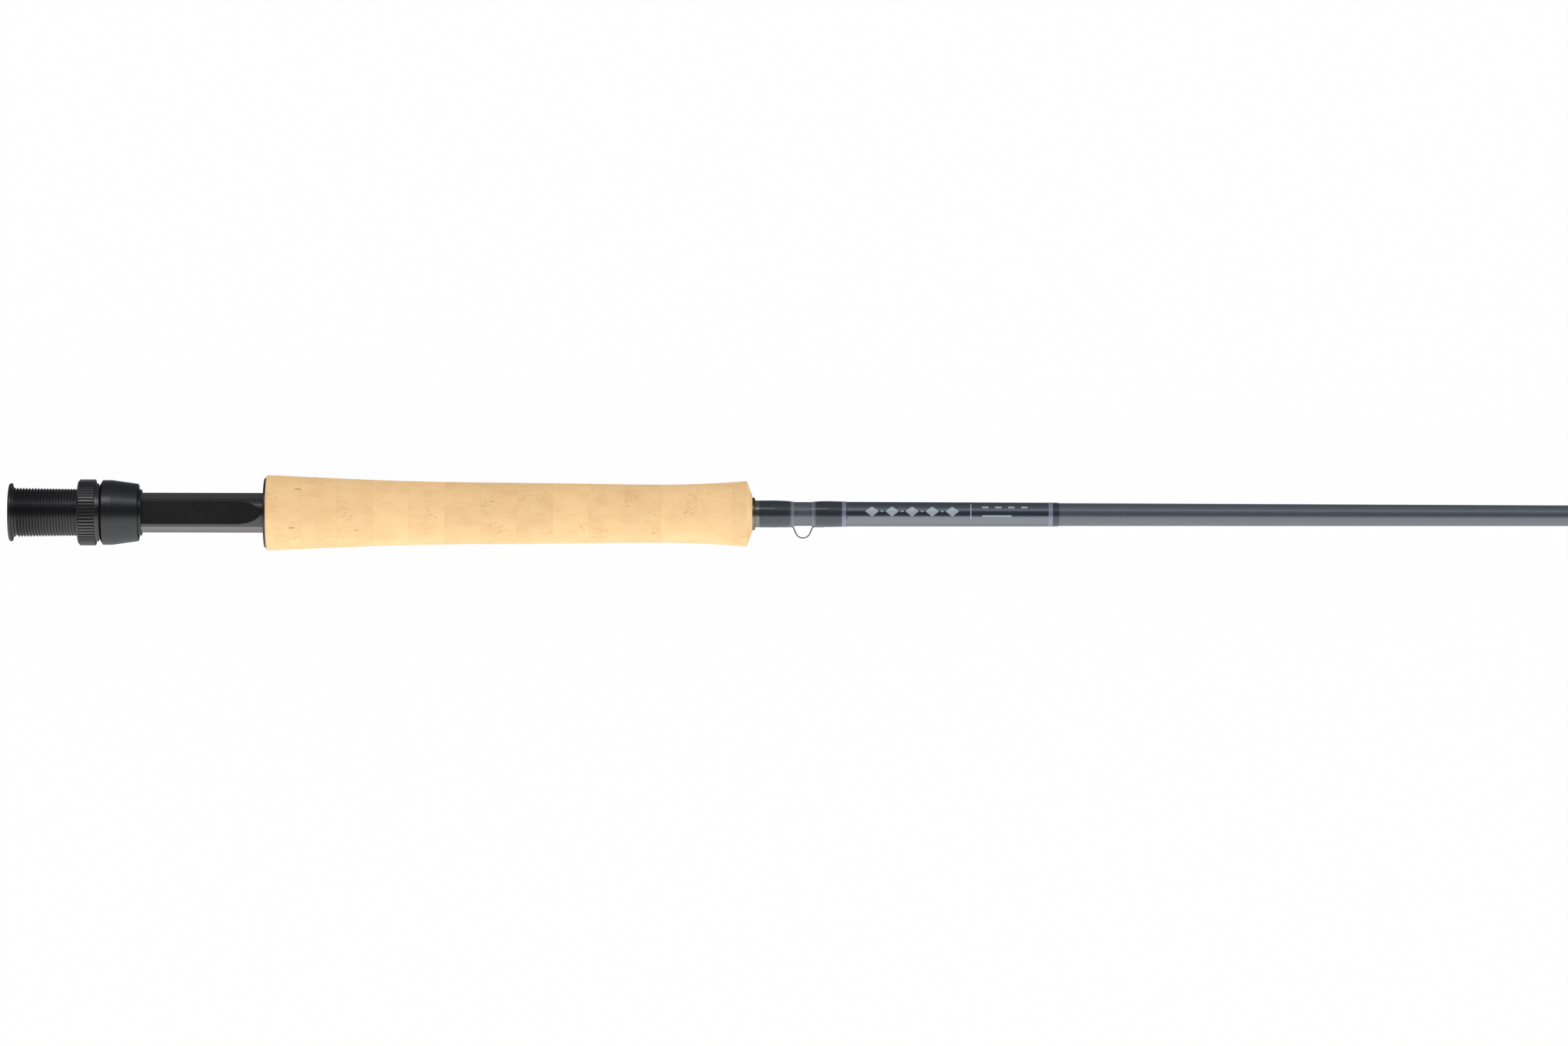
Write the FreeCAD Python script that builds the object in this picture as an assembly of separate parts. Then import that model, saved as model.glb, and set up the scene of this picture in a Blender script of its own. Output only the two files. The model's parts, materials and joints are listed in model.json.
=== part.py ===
"""Four-piece fly rod, 9 ft (2743 mm), with an up-locking screw reel seat and a cork grip.

The rod axis is the X axis: butt face at x = 0, tip towards +X, reel and line guides towards -Y.
Every separate piece of the rod is one node, written to parts/NODE.step.
"""
import os
import math
import FreeCAD, Part
from FreeCAD import Vector

# ---- driving dimensions, millimetres ----
ROD_LENGTH = 2743.0             # nine feet, butt face to the end of the tip section
GLUE_GAP = 0.04                 # radial glue line between fixed pieces
RUNNING_GAP = 0.10              # radial clearance between pieces that move

THREAD_PITCH = 25.4 / 24        # 24 threads per inch
THREAD_R = 8.72                 # crest radius of the 11/16 inch barrel thread
THREAD_DEPTH = 0.55

CAP_R = 10.3
CAP_THICKNESS = 1.2
CAP_SPIGOT_END = 6.9
THREAD_START = 2.7              # a plain neck lies between the cap and the thread
BARREL_END = 46.9
INSERT_R = 7.06                 # round bar that the reel foot sits on
INSERT_START = 7.0
ARBOR_R = 5.2                   # bore of the insert, filled by the arbor round the blank
FLAT_DEPTH = 1.29               # side flats of the insert, below its round
FLAT_END = 80.2                 # where the flats' full width ends
FLAT_CUTTER_R = 31.5            # cutter radius that makes the flats' rounded run-out

RING_START = 24.5
RING_END = 30.7
RING_R = 11.70
RING_SPLINES = 60
SPLINE_DEPTH = 0.45
COLLAR_R = 10.3                 # plain collar in front of the splines
COLLAR_END = 31.6
NECK_R = 9.55
LIP_R = 10.5

HOOD_START = 32.2
HOOD_REAR_CONE = 1.0            # length of the cone at the hood's rear
HOOD_SHOULDER = 36.5            # end of the hood's straight rear band
HOOD_END = 45.85
HOOD_R = 11.46
HOOD_NOSE_R = 10.16
HOOD_BORE_R = 9.05

PLATE_START = 90.3
PLATE_END = 91.1
PLATE_R = 12.4
FIXED_HOOD_R = 11.1
FIXED_HOOD_END = 105.7
POCKET_R = 10.4                 # outer wall of the pocket that takes the reel foot
POCKET_END = 104.1
POCKET_HALF_ANGLE = 58.0        # degrees each side of -Y

GRIP_END = 263.1
CORK_RING = 12.7                # half-inch cork rings
GRIP_BEVEL_START = 261.1
GRIP_BEVEL_R = 6.3
GRIP_REAR_R = 12.85             # rear face, before its small chamfer
# outline of the grip, distance from the butt and radius
GRIP_OUTLINE = [(91.5, 13.37), (105.4, 12.73), (121.0, 12.04), (141.0, 11.36), (165.0, 10.93),
                (195.0, 10.66), (224.0, 10.30), (236.0, 10.33), (247.6, 10.71), (255.0, 11.14),
                (GRIP_BEVEL_START, 11.60)]

CHECK_R = 5.8
CHECK_END = 264.1
BAND_R = 4.75
BAND_END = 265.6
REAR_WRAP_END = 277.8
FRONT_WRAP_START = 284.2
FRONT_WRAP_END = 294.8
# outer outlines of the two keeper wraps, distance from the butt and radius
REAR_WRAP_OUTLINE = [(276.9, 4.46), (275.6, 4.64), (271.3, 4.80), (BAND_END, 4.77)]
FRONT_WRAP_OUTLINE = [(FRONT_WRAP_END, 4.50), (290.2, 4.62), (286.8, 4.56), (285.2, 4.43)]
LABEL_START = 296.3
LABEL_END = 367.9
LABEL_BAND_END = 369.4
LABEL_WRAP_END = 371.6
LABEL_BAND_R = (4.50, 4.27)     # trim bands behind and ahead of the label coat
LABEL_COAT_R = (4.36, 4.22)
LABEL_WRAP_R = (4.25, 4.22)

KEEPER_X = 281.0                # middle of the hook keeper's loop
KEEPER_HALF_WIDTH = 3.5
KEEPER_REACH = 8.5              # from the rod axis to the middle of the wire at the far side
KEEPER_WIRE_R = 0.25
KEEPER_FOOT = 4.0

# four sections: start, end, outer radius at the start and at the end, wall at the top
SECTION_LENGTH = 723.0
BUTT_R = (4.84, 3.315)
OVERLAPS = (60.0, 50.0, 40.0)   # sleeve ferrule lengths, butt to tip
SLEEVE_WALLS = (0.55, 0.50, 0.40)
TOP_R = (2.65, 1.70, 0.75)      # outer radius at the top of sections 2, 3 and tip
TOP_WALLS = (0.60, 0.50, 0.35)
BUTT_WALL = 0.95
FERRULE_GAP = 0.03

STRIPPING_X = (762.0, 1054.0)
STRIPPING_BORE_R = (4.4, 3.7)
HARD_RING_WALL = 1.0            # radial thickness of a stripping guide's hard ring
HARD_RING_HALF_WIDTH = 0.9
HOLDER_WALL = 0.7
HOLDER_HALF_WIDTH = 0.8
HOLDER_LIFT = 3.2               # from the blank to the holder's bore
HOLDER_LEG_R = 0.45
HOLDER_FOOT_START = 7.0         # from the middle of the ring, along the rod
HOLDER_FOOT = (1.7, 0.95)       # width and thickness
SNAKE_X = ((1308.0,), (1549.0, 1768.0, 1968.0), (2152.0, 2324.0, 2476.0, 2616.0))
SNAKE_HEIGHT = (4.3, 4.0, 3.6)  # middle of the arch's wire above the blank, by section
SNAKE_WIRE_R = (0.45, 0.42, 0.38)
SNAKE_FOOT_START = 8.5
SNAKE_FOOT_WIDTH = 1.2
WRAP_THICKNESS = 0.30
WRAP_EDGE = 0.05                # what is left of a wrap's epoxy at its very end
FERRULE_WRAP_LENGTHS = (40.0, 32.0, 25.0)
FOOT_LENGTH = 9.0
TIP_TUBE_LENGTH = 11.0
TIP_LOOP_R = 2.3
TIP_WIRE_R = 0.4

X_AXIS = Vector(1, 0, 0)
ORIGIN = Vector(0, 0, 0)
parts = {}


# ---- helpers ----
def lathe(outline):
    """Solid turned about the rod axis from a closed outline of (x, radius) points."""
    points = [Vector(x, r, 0) for x, r in outline]
    face = Part.Face(Part.makePolygon(points + points[:1]))
    return face.revolve(ORIGIN, X_AXIS, 360)


def tube(x0, x1, outer, inner):
    """Ring or cone tube; outer and inner are a radius, or (radius at x0, radius at x1)."""
    outer = outer if isinstance(outer, tuple) else (outer, outer)
    inner = inner if isinstance(inner, tuple) else (inner, inner)
    return lathe([(x0, inner[0]), (x1, inner[1]), (x1, outer[1]), (x0, outer[0])])


def rounded_sleeve(x0, x1, inner, outer, lip):
    """Sleeve over the blank whose ends run down to the bore over the length lip."""
    inner_0, inner_1 = inner
    outer_0, outer_1 = outer
    return lathe([(x0, inner_0), (x1, inner_1), (x1, inner_1 + WRAP_EDGE), (x1 - lip / 2, outer_1 - 0.06),
                  (x1 - lip, outer_1), (x0 + lip, outer_0), (x0 + lip / 2, outer_0 - 0.06),
                  (x0, inner_0 + WRAP_EDGE)])


def round_path(corners, bends):
    """Wire of straight runs joined by tangent arcs; bends is a radius, or one for each corner."""
    if not isinstance(bends, (list, tuple)):
        bends = [bends] * (len(corners) - 2)
    edges = []
    start = corners[0]
    for before, corner, after, bend in zip(corners, corners[1:], corners[2:], bends):
        into = (corner - before).normalize()
        out = (after - corner).normalize()
        half_turn = into.getAngle(out) / 2
        if half_turn < 1e-3:
            continue
        reach = bend * math.tan(half_turn)
        inwards = (out - into).normalize()
        centre = corner + inwards * (bend / math.cos(half_turn))
        arc_start, arc_end = corner - into * reach, corner + out * reach
        arc_middle = centre - inwards * bend
        if start.distanceToPoint(arc_start) > 1e-4:
            edges.append(Part.LineSegment(start, arc_start).toShape())
        edges.append(Part.Arc(arc_start, arc_middle, arc_end).toShape())
        start = arc_end
    edges.append(Part.LineSegment(start, corners[-1]).toShape())
    return Part.Wire(edges)


def wire_solid(path, radius):
    """Round wire swept along a path."""
    first = path.OrderedEdges[0]
    at = first.valueAt(first.FirstParameter)
    along = first.tangentAt(first.FirstParameter)
    section = Part.Wire([Part.makeCircle(radius, at, along)])
    return path.makePipeShell([section], True, False)


def thread_ridge(x_start, turns, root_r, crest_r, half_root, half_crest):
    """Helical ridge about the rod axis, starting at x_start, to fuse on or to cut with."""
    helix = Part.makeLongHelix(THREAD_PITCH, turns * THREAD_PITCH, root_r)
    corners = [(root_r - 0.06, -half_root), (root_r - 0.06, half_root),
               (crest_r, half_crest), (crest_r, -half_crest)]
    points = [Vector(r, 0, z) for r, z in corners]
    profile = Part.makePolygon(points + points[:1])
    ridge = Part.Wire(helix.Edges).makePipeShell([profile], True, True)
    ridge.rotate(ORIGIN, Vector(0, 1, 0), 90)
    ridge.translate(Vector(x_start, 0, 0))
    return ridge


def line_between(x, x0, x1, value_0, value_1):
    return value_0 + (value_1 - value_0) * (x - x0) / (x1 - x0)


# ---- blank: four tapered tubes with sleeve ferrules ----
def section_spans():
    spans = [(0.0, SECTION_LENGTH)]
    for overlap in OVERLAPS:
        start = spans[-1][1] - overlap
        spans.append((start, start + SECTION_LENGTH))
    last_start = spans[-1][0]
    spans[-1] = (last_start, ROD_LENGTH - 2.0)
    return spans


SPANS = section_spans()


def section_radii():
    """Outer radius at both ends of each section; a sleeve fits over the section below it."""
    radii = [BUTT_R]
    for index, wall in enumerate(SLEEVE_WALLS):
        lower_start, lower_end = SPANS[index]
        below = line_between(SPANS[index + 1][0], lower_start, lower_end, *radii[-1])
        radii.append((below + FERRULE_GAP + wall, TOP_R[index]))
    return radii


RADII = section_radii()


def blank_r(section, x):
    """Outer radius of a section's blank at x."""
    start, end = SPANS[section]
    return line_between(x, start, end, *RADII[section])


def over_blank(section, x0, x1, extra=GLUE_GAP):
    return (blank_r(section, x0) + extra, blank_r(section, x1) + extra)


def make_butt_blank():
    start, end = INSERT_START, SPANS[0][1]
    outer = over_blank(0, start, end, 0.0)
    return tube(start, end, outer, (outer[0] - BUTT_WALL, outer[1] - BUTT_WALL * 0.75))


def make_upper_blank(section):
    """Section whose lower end is a sleeve over the top of the section below."""
    start, end = SPANS[section]
    below_end = SPANS[section - 1][1]
    sleeve_end = below_end + 0.5
    sleeve = over_blank(section - 1, start, below_end, FERRULE_GAP)
    return lathe([(start, sleeve[0]), (sleeve_end, sleeve[1]),
                  (end, RADII[section][1] - TOP_WALLS[section - 1]),
                  (end, RADII[section][1]), (start + 0.4, blank_r(section, start)),
                  (start, blank_r(section, start) - 0.1)])


# ---- reel seat ----
def make_butt_cap():
    rim = 0.75
    top = CAP_R - rim
    corner = rim * math.sqrt(0.5)
    outline = [Part.LineSegment(Vector(0, 0, 0), Vector(0, top, 0)),
               Part.Arc(Vector(0, top, 0), Vector(rim - corner, top + corner, 0), Vector(rim, CAP_R, 0))]
    corners = [(rim, CAP_R), (CAP_THICKNESS - 0.1, CAP_R), (CAP_THICKNESS, CAP_R - 0.1),
               (CAP_THICKNESS, INSERT_R), (CAP_SPIGOT_END, INSERT_R), (CAP_SPIGOT_END, 0), (0, 0)]
    points = [Vector(x, r, 0) for x, r in corners]
    outline += [Part.LineSegment(a, b) for a, b in zip(points, points[1:])]
    return Part.Face(Part.Wire([edge.toShape() for edge in outline])).revolve(ORIGIN, X_AXIS, 360)


def make_threaded_barrel():
    root_r = THREAD_R - THREAD_DEPTH
    turns = math.floor((BARREL_END - 0.6 - THREAD_START) / THREAD_PITCH)
    neck_end = THREAD_START - THREAD_PITCH * 0.6
    core = lathe([(CAP_THICKNESS, INSERT_R - 0.3), (CAP_THICKNESS, THREAD_R), (neck_end, THREAD_R),
                  (neck_end + 0.3, root_r), (BARREL_END, root_r), (BARREL_END, INSERT_R - 0.3)])
    barrel = core.fuse(thread_ridge(THREAD_START, turns, root_r, THREAD_R,
                                    THREAD_PITCH * 0.42, 0.06))
    bore = tube(0, BARREL_END + 1, INSERT_R + GLUE_GAP, 1.0)
    return barrel.cut(bore)


def make_seat_insert():
    """Round bar with a milled flat on each side, running on into the grip."""
    bar = tube(INSERT_START, POCKET_END, INSERT_R, ARBOR_R)
    flat_z = INSERT_R - FLAT_DEPTH
    for side in (1, -1):
        length = FLAT_END - BARREL_END
        block = Part.makeBox(length, 40, 5, Vector(BARREL_END, -20, flat_z))
        cutter = Part.makeCylinder(FLAT_CUTTER_R, 40, Vector(FLAT_END, -20, flat_z + FLAT_CUTTER_R),
                                   Vector(0, 1, 0))
        ahead = Part.makeBox(40, 40, 5, Vector(FLAT_END, -20, flat_z))
        tool = block.fuse(cutter.common(ahead))
        if side < 0:
            tool = tool.mirror(ORIGIN, Vector(0, 0, 1))
        bar = bar.cut(tool)
    return bar


def make_seat_arbor():
    return tube(INSERT_START, POCKET_END, ARBOR_R - GLUE_GAP, over_blank(0, INSERT_START, POCKET_END))


def make_lock_ring():
    """Splined nut with a lipped neck that is trapped in the hood."""
    neck_end = HOOD_START + 1.9
    bore_r = THREAD_R - THREAD_DEPTH + RUNNING_GAP
    ring = lathe([(RING_START, bore_r), (neck_end, bore_r), (neck_end, LIP_R),
                  (HOOD_START + 1.0, LIP_R), (HOOD_START + 1.0, NECK_R), (COLLAR_END, NECK_R),
                  (COLLAR_END, COLLAR_R), (RING_END, COLLAR_R),
                  (RING_END, RING_R - 0.2), (RING_END - 0.2, RING_R),
                  (RING_START + 0.7, RING_R), (RING_START, RING_R - 0.85)])
    half_width, above = 0.42, RING_R + 0.15
    corners = [(0, RING_R - SPLINE_DEPTH), (half_width, above), (-half_width, above)]
    points = [Vector(RING_START - 1, y, z) for y, z in corners]
    notch = Part.Face(Part.makePolygon(points + points[:1]))
    groove = notch.extrude(Vector(RING_END - RING_START + 1.5, 0, 0))
    grooves = []
    for index in range(RING_SPLINES):
        turned = groove.copy()
        turned.rotate(ORIGIN, X_AXIS, index * 360 / RING_SPLINES)
        grooves.append(turned)
    ring = ring.cut(Part.makeCompound(grooves))
    first_turn = math.floor((RING_START - THREAD_START) / THREAD_PITCH) - 1
    tool = thread_ridge(THREAD_START + first_turn * THREAD_PITCH, 13,
                        THREAD_R - THREAD_DEPTH, THREAD_R + RUNNING_GAP,
                        THREAD_PITCH * 0.42 + RUNNING_GAP, 0.06 + RUNNING_GAP)
    return ring.cut(tool)


def make_slip_washer():
    return tube(HOOD_START + 2.0, HOOD_START + 2.75, LIP_R, HOOD_BORE_R)


def make_sliding_hood():
    """Tapered hood over the reel foot; its rear wall traps the lock ring's lip."""
    wall_end = HOOD_START + 0.8
    groove_end = HOOD_START + 2.85
    groove_r = LIP_R + RUNNING_GAP
    return lathe([(HOOD_START, NECK_R + RUNNING_GAP), (wall_end, NECK_R + RUNNING_GAP),
                  (wall_end, groove_r), (groove_end, groove_r), (groove_end, HOOD_BORE_R),
                  (HOOD_END - 0.3, HOOD_BORE_R), (HOOD_END, HOOD_BORE_R + 0.3),
                  (HOOD_END, HOOD_NOSE_R - 0.2), (HOOD_END - 0.2, HOOD_NOSE_R + 0.03),
                  (HOOD_SHOULDER, HOOD_R), (HOOD_START + HOOD_REAR_CONE, HOOD_R),
                  (HOOD_START, NECK_R + 0.3)])


def foot_pocket():
    """Sector of the fixed hood that is open for the reel foot, on the -Y side."""
    full = tube(PLATE_START - 1, POCKET_END, POCKET_R, INSERT_R - 1)
    reach = 30.0
    angle = math.radians(POCKET_HALF_ANGLE)
    wedge = Part.Face(Part.makePolygon([
        Vector(PLATE_START - 2, 0, 0),
        Vector(PLATE_START - 2, -reach * math.cos(angle), reach * math.sin(angle)),
        Vector(PLATE_START - 2, -reach * math.cos(angle), -reach * math.sin(angle)),
        Vector(PLATE_START - 2, 0, 0)])).extrude(Vector(40, 0, 0))
    return full.common(wedge)


def make_fixed_hood():
    cup = tube(PLATE_END, FIXED_HOOD_END, FIXED_HOOD_R, INSERT_R + GLUE_GAP)
    end_wall = tube(POCKET_END, FIXED_HOOD_END, INSERT_R + 1, over_blank(0, POCKET_END, FIXED_HOOD_END))
    return cup.cut(foot_pocket()).fuse(end_wall).removeSplitter()


def make_grip_rear_plate():
    plate = lathe([(PLATE_START, INSERT_R + GLUE_GAP), (PLATE_END, INSERT_R + GLUE_GAP),
                   (PLATE_END, PLATE_R), (PLATE_START + 0.35, PLATE_R),
                   (PLATE_START + 0.1, PLATE_R - 0.2), (PLATE_START, PLATE_R - 0.55)])
    return plate.cut(foot_pocket())


# ---- grip ----
def make_grip():
    """Whole cork grip, reamed to the blank and counterbored for the fixed hood."""
    curve = Part.BSplineCurve()
    curve.interpolate([Vector(x, r, 0) for x, r in GRIP_OUTLINE])
    shoulder = Vector(GRIP_BEVEL_START, GRIP_OUTLINE[-1][1], 0)
    corners = [shoulder, Vector(GRIP_END, GRIP_BEVEL_R, 0),
               Vector(GRIP_END, blank_r(0, GRIP_END) + GLUE_GAP, 0),
               Vector(FIXED_HOOD_END, blank_r(0, FIXED_HOOD_END) + GLUE_GAP, 0),
               Vector(FIXED_HOOD_END, FIXED_HOOD_R + GLUE_GAP, 0),
               Vector(PLATE_END, FIXED_HOOD_R + GLUE_GAP, 0),
               Vector(PLATE_END, GRIP_REAR_R, 0), Vector(*GRIP_OUTLINE[0], 0)]
    edges = [curve.toShape()] + [Part.LineSegment(a, b).toShape() for a, b in zip(corners, corners[1:])]
    return Part.Face(Part.Wire(edges)).revolve(ORIGIN, X_AXIS, 360)


def add_cork_rings():
    grip = make_grip()
    count = math.ceil((GRIP_END - PLATE_END) / CORK_RING)
    for index in range(count):
        start = PLATE_END + index * CORK_RING
        end = min(start + CORK_RING, GRIP_END)
        slab = Part.makeCylinder(20, end - start, Vector(start, 0, 0), X_AXIS)
        parts["cork_ring_%02d" % (index + 1)] = grip.common(slab)


# ---- trim in front of the grip ----
def make_winding_check():
    """Small dished collar against the grip's front face."""
    inner = over_blank(0, GRIP_END, CHECK_END)
    return lathe([(GRIP_END, inner[0]), (CHECK_END, inner[1]), (CHECK_END, CHECK_R - 0.7),
                  (CHECK_END - 0.15, CHECK_R - 0.2), (CHECK_END - 0.4, CHECK_R), (GRIP_END, CHECK_R)])


def make_keeper_rear_wrap():
    inner = over_blank(0, BAND_END, REAR_WRAP_END)
    return lathe([(BAND_END, inner[0]), (REAR_WRAP_END, inner[1]), (REAR_WRAP_END, inner[1] + WRAP_EDGE),
                  *REAR_WRAP_OUTLINE])


def make_keeper_front_wrap():
    inner = over_blank(0, FRONT_WRAP_START, FRONT_WRAP_END)
    return lathe([(FRONT_WRAP_START, inner[0]), (FRONT_WRAP_END, inner[1]), *FRONT_WRAP_OUTLINE,
                  (FRONT_WRAP_START, inner[0] + WRAP_EDGE)])


def make_hook_keeper():
    """Wire loop for the fly's hook, its two feet under the wraps."""
    foot_y = blank_r(0, KEEPER_X) + KEEPER_WIRE_R + 0.02
    shoulder = KEEPER_HALF_WIDTH
    waist = KEEPER_HALF_WIDTH - 1.7
    corners = [(-shoulder - KEEPER_FOOT, foot_y), (-shoulder, foot_y), (-waist, KEEPER_REACH),
               (waist, KEEPER_REACH), (shoulder, foot_y), (shoulder + KEEPER_FOOT, foot_y)]
    path = round_path([Vector(KEEPER_X + dx, -y, 0) for dx, y in corners], [0.6, 2.7, 2.7, 0.6])
    return wire_solid(path, KEEPER_WIRE_R)


# ---- line guides ----
def wedge_foot(section, x_root, x_tip, width, thickness):
    """Guide foot on the blank's -Y side, ground down to a thin tip."""
    base = max(blank_r(section, x_root), blank_r(section, x_tip)) + 0.02
    side = Part.Face(Part.makePolygon([
        Vector(x_root, -base, 0), Vector(x_root, -base - thickness, 0),
        Vector(x_tip, -base - 0.15, 0), Vector(x_tip, -base, 0), Vector(x_root, -base, 0)]))
    foot = side.extrude(Vector(0, 0, width))
    foot.translate(Vector(0, 0, -width / 2))
    return foot


def foot_wrap(section, x_guide_side, x_tip, width, thickness):
    """Thread wrap round the blank with a hump over the foot."""
    way = 1 if x_tip > x_guide_side else -1
    outer_end = x_tip + way * 3.0
    low, high = sorted((x_guide_side, outer_end))
    sleeve = rounded_sleeve(low, high, over_blank(section, low, high),
                            over_blank(section, low, high, WRAP_THICKNESS), 1.0)
    hump = wedge_foot(section, x_guide_side, outer_end - way * 0.8, width + 0.5, thickness + 0.2)
    core = tube(low - 1, high + 1, over_blank(section, low - 1, high + 1, GLUE_GAP), 0.05)
    return sleeve.fuse(hump.cut(core))


def make_stripping_guide(index):
    """Ring holder on four legs, with a foot ahead of and behind the ring, and the ring's hard insert."""
    x = STRIPPING_X[index]
    holder_bore = STRIPPING_BORE_R[index] + HARD_RING_WALL
    holder_r = holder_bore + HOLDER_WALL
    base = blank_r(1, x)
    centre = base + holder_bore + HOLDER_LIFT
    frame = tube(x - HOLDER_HALF_WIDTH, x + HOLDER_HALF_WIDTH, holder_r, holder_bore)
    frame.translate(Vector(0, -centre, 0))
    ring_space = tube(x - 4, x + 4, holder_bore + 0.25, 0.05)
    ring_space.translate(Vector(0, -centre, 0))
    blank_space = tube(x - 30, x + 30, over_blank(1, x - 30, x + 30, 0.02), 0.05)
    width, thickness = HOLDER_FOOT
    wraps = []
    for way in (1, -1):
        foot_root = x + way * HOLDER_FOOT_START
        foot_tip = foot_root + way * FOOT_LENGTH
        foot = wedge_foot(1, foot_root - way * 0.8, foot_tip, width, thickness)
        frame = frame.fuse(foot)
        for side in (1, -1):
            corners = [Vector(x, -centre, side * (holder_r - HOLDER_WALL / 2)),
                       Vector(x + way * 1.6, -centre + holder_r * 0.9, side * holder_r * 0.62),
                       Vector(foot_root - way * 0.2, -base - 0.60, side * 0.22)]
            leg = wire_solid(round_path(corners, 2.5), HOLDER_LEG_R)
            frame = frame.fuse(leg.cut(ring_space).cut(blank_space))
        wraps.append(foot_wrap(1, foot_root + way * 0.4, foot_tip, width, thickness))
    outer, half = holder_bore - GLUE_GAP, HARD_RING_HALF_WIDTH
    inner = STRIPPING_BORE_R[index]
    insert = lathe([(x - half, outer), (x - half, inner + 0.5), (x - half / 2, inner),
                    (x + half / 2, inner), (x + half, inner + 0.5), (x + half, outer)])
    insert.translate(Vector(0, -centre, 0))
    return frame, insert, wraps


def make_snake_guide(section, x):
    """One bent wire: foot, half turn across the line's path, foot."""
    height = SNAKE_HEIGHT[section - 1]
    wire_r = SNAKE_WIRE_R[section - 1]
    base = blank_r(section, x)
    side = height * 0.72
    low = base + wire_r + 0.05
    corners = [(-9.5, low, 0), (-6.0, low, 0), (-2.6, low + height * 0.38, side),
               (-0.9, low + height, side * 0.72), (0.9, low + height, -side * 0.72),
               (2.6, low + height * 0.38, -side), (6.0, low, 0), (9.5, low, 0)]
    path = round_path([Vector(x + dx, -y, z) for dx, y, z in corners], 1.0)
    guide = wire_solid(path, wire_r)
    foot_thickness = wire_r * 2
    wraps = []
    for way in (1, -1):
        foot_start = x + way * SNAKE_FOOT_START
        foot_tip = foot_start + way * FOOT_LENGTH * 0.6
        guide = guide.fuse(wedge_foot(section, foot_start, foot_tip, SNAKE_FOOT_WIDTH, foot_thickness))
        wraps.append(foot_wrap(section, foot_start - way * 0.9, foot_tip, SNAKE_FOOT_WIDTH, foot_thickness))
    blank_space = tube(x - 20, x + 20, over_blank(section, x - 20, x + 20, 0.02), 0.05)
    return guide.cut(blank_space), wraps


def make_tip_top():
    """Tube that caps the tip, with a bent wire loop soldered to it."""
    start = SPANS[3][1] - TIP_TUBE_LENGTH + 1.0
    end = start + TIP_TUBE_LENGTH
    bore = blank_r(3, start) + FERRULE_GAP
    outer = bore + 0.3
    cap = lathe([(start, bore), (SPANS[3][1] + 0.1, bore), (SPANS[3][1] + 0.1, 0), (end, 0),
                 (end, outer - 0.3), (end - 0.3, outer), (start + 0.3, outer), (start, outer - 0.15)])
    loop_x = end + 2.0
    seat = outer + TIP_WIRE_R - 0.15
    corners = [(end - 6.0, 0.35, seat), (end - 1.5, 0.6, seat), (loop_x, 1.3, TIP_LOOP_R),
               (loop_x + 0.8, 3.6, TIP_LOOP_R + 0.25), (loop_x + 1.3, 5.9, TIP_LOOP_R - 0.3)]
    half = [Vector(x, -y, z) for x, y, z in corners]
    other_half = [Vector(p.x, p.y, -p.z) for p in reversed(half)]
    loop = wire_solid(round_path(half + other_half, 0.7), TIP_WIRE_R)
    clear = tube(start - 1, SPANS[3][1] + 0.1, bore, 0.02)
    return cap.fuse(loop).cut(clear)


# ---- assembly ----
def add_reel_seat():
    parts["butt_cap"] = make_butt_cap()
    parts["threaded_barrel"] = make_threaded_barrel()
    parts["seat_insert"] = make_seat_insert()
    parts["seat_arbor"] = make_seat_arbor()
    parts["lock_ring"] = make_lock_ring()
    parts["slip_washer"] = make_slip_washer()
    parts["sliding_hood"] = make_sliding_hood()
    parts["fixed_hood"] = make_fixed_hood()
    parts["grip_rear_plate"] = make_grip_rear_plate()


def add_butt_trim():
    parts["winding_check"] = make_winding_check()
    parts["check_trim_band"] = tube(CHECK_END, BAND_END, BAND_R, over_blank(0, CHECK_END, BAND_END))
    parts["keeper_rear_wrap"] = make_keeper_rear_wrap()
    parts["hook_keeper"] = make_hook_keeper()
    parts["keeper_front_wrap"] = make_keeper_front_wrap()
    parts["label_rear_band"] = tube(FRONT_WRAP_END, LABEL_START, LABEL_BAND_R[0],
                                    over_blank(0, FRONT_WRAP_END, LABEL_START))
    parts["label_coat"] = tube(LABEL_START, LABEL_END, LABEL_COAT_R, over_blank(0, LABEL_START, LABEL_END))
    parts["label_front_band"] = tube(LABEL_END, LABEL_BAND_END, LABEL_BAND_R[1],
                                     over_blank(0, LABEL_END, LABEL_BAND_END))
    inner = over_blank(0, LABEL_BAND_END, LABEL_WRAP_END)
    parts["label_front_wrap"] = lathe([(LABEL_BAND_END, inner[0]), (LABEL_WRAP_END, inner[1]),
                                       (LABEL_WRAP_END, inner[1] + WRAP_EDGE),
                                       (LABEL_WRAP_END - 0.8, LABEL_WRAP_R[1]),
                                       (LABEL_BAND_END, LABEL_WRAP_R[0])])


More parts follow.
